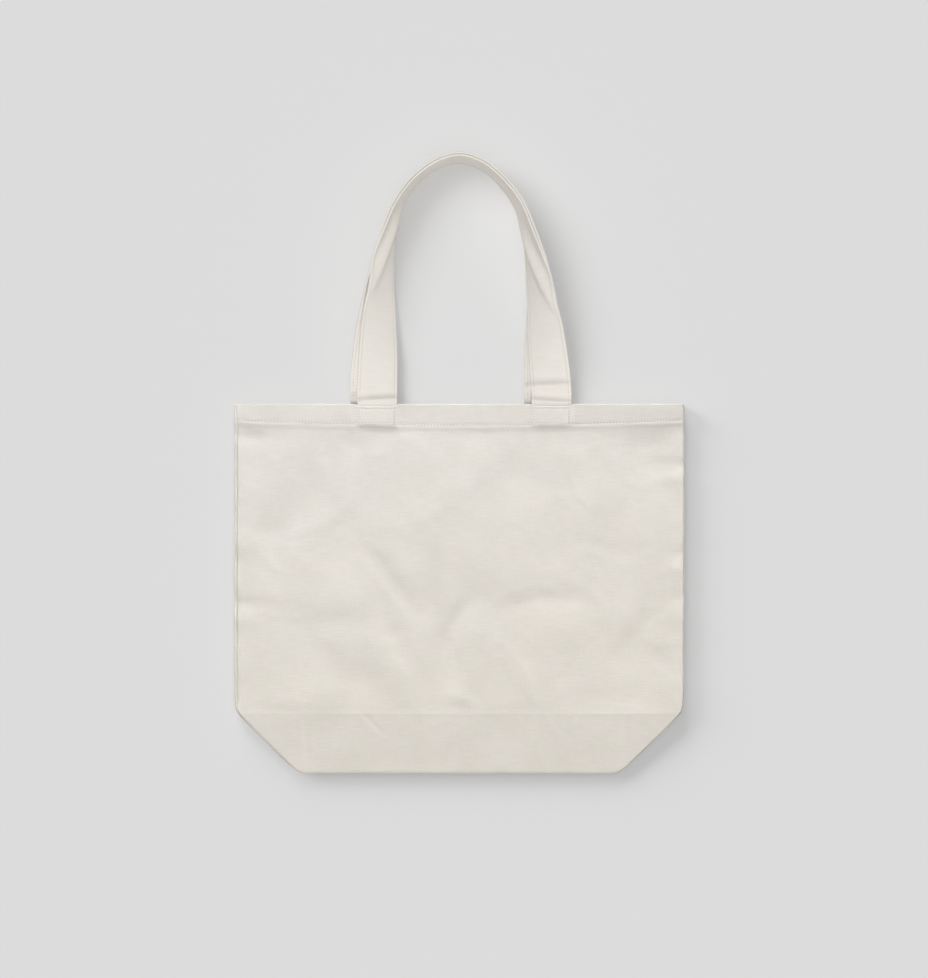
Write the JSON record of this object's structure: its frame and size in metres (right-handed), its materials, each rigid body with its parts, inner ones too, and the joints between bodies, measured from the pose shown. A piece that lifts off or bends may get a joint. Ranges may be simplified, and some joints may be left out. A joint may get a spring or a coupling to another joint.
{
  "type": "tote bag",
  "caption": "Canvas tote bag with a boxed base and shoulder handles sewn inside its hems, lying flat with its handles laid out above the mouth.",
  "frame": {"origin": "middle of the footprint, on the surface the bag lies on", "axes": "+X across the bag, to the right as seen from its front; +Y from the base to the handles; +Z out of the front panel, up as the bag lies"},
  "size_m": [0.45, 0.618, 0.0403],
  "materials": {
    "canvas": "natural undyed canvas, matt",
    "strap": "natural undyed canvas, folded and pressed, matt",
    "thread": "natural cotton thread, soft sheen",
    "seam": "overlocked canvas edge, matt"
  },
  "bodies": {
    "back_of_bag": {"back_panel": "canvas", "left_side_seam": "seam", "right_side_seam": "seam", "left_corner_seam": "seam", "right_corner_seam": "seam", "bottom_seam": "seam", "back_left_handle_end": "strap", "back_right_handle_end": "strap", "back_hem_stitching": "thread", "back_left_box_stitching": "thread", "back_right_box_stitching": "thread"},
    "front_of_bag": {"front_panel": "canvas", "front_left_handle_end": "strap", "front_right_handle_end": "strap", "front_hem_stitching": "thread", "front_left_box_stitching": "thread", "front_right_box_stitching": "thread"},
    "front_handle": {"front_handle": "strap", "front_handle_outer_stitching": "thread", "front_handle_inner_stitching": "thread"},
    "back_handle": {"back_handle": "strap", "back_handle_outer_stitching": "thread", "back_handle_inner_stitching": "thread"}
  },
  "joints": [
    {"name": "mouth_open", "type": "hinge", "parent": "back_of_bag", "child": "front_of_bag", "pos_m": [0, -0.309, 0.007], "axis": [1, 0, 0], "range_deg": [0, 11]},
    {"name": "front_handle_swing", "type": "hinge", "parent": "front_of_bag", "child": "front_handle", "pos_m": [0, 0.061, 0.0145], "axis": [1, 0, 0], "range_deg": [0, 165]},
    {"name": "back_handle_swing", "type": "hinge", "parent": "back_of_bag", "child": "back_handle", "pos_m": [0, 0.061, -0.0005], "axis": [1, 0, 0], "range_deg": [-165, 0]}
  ]
}
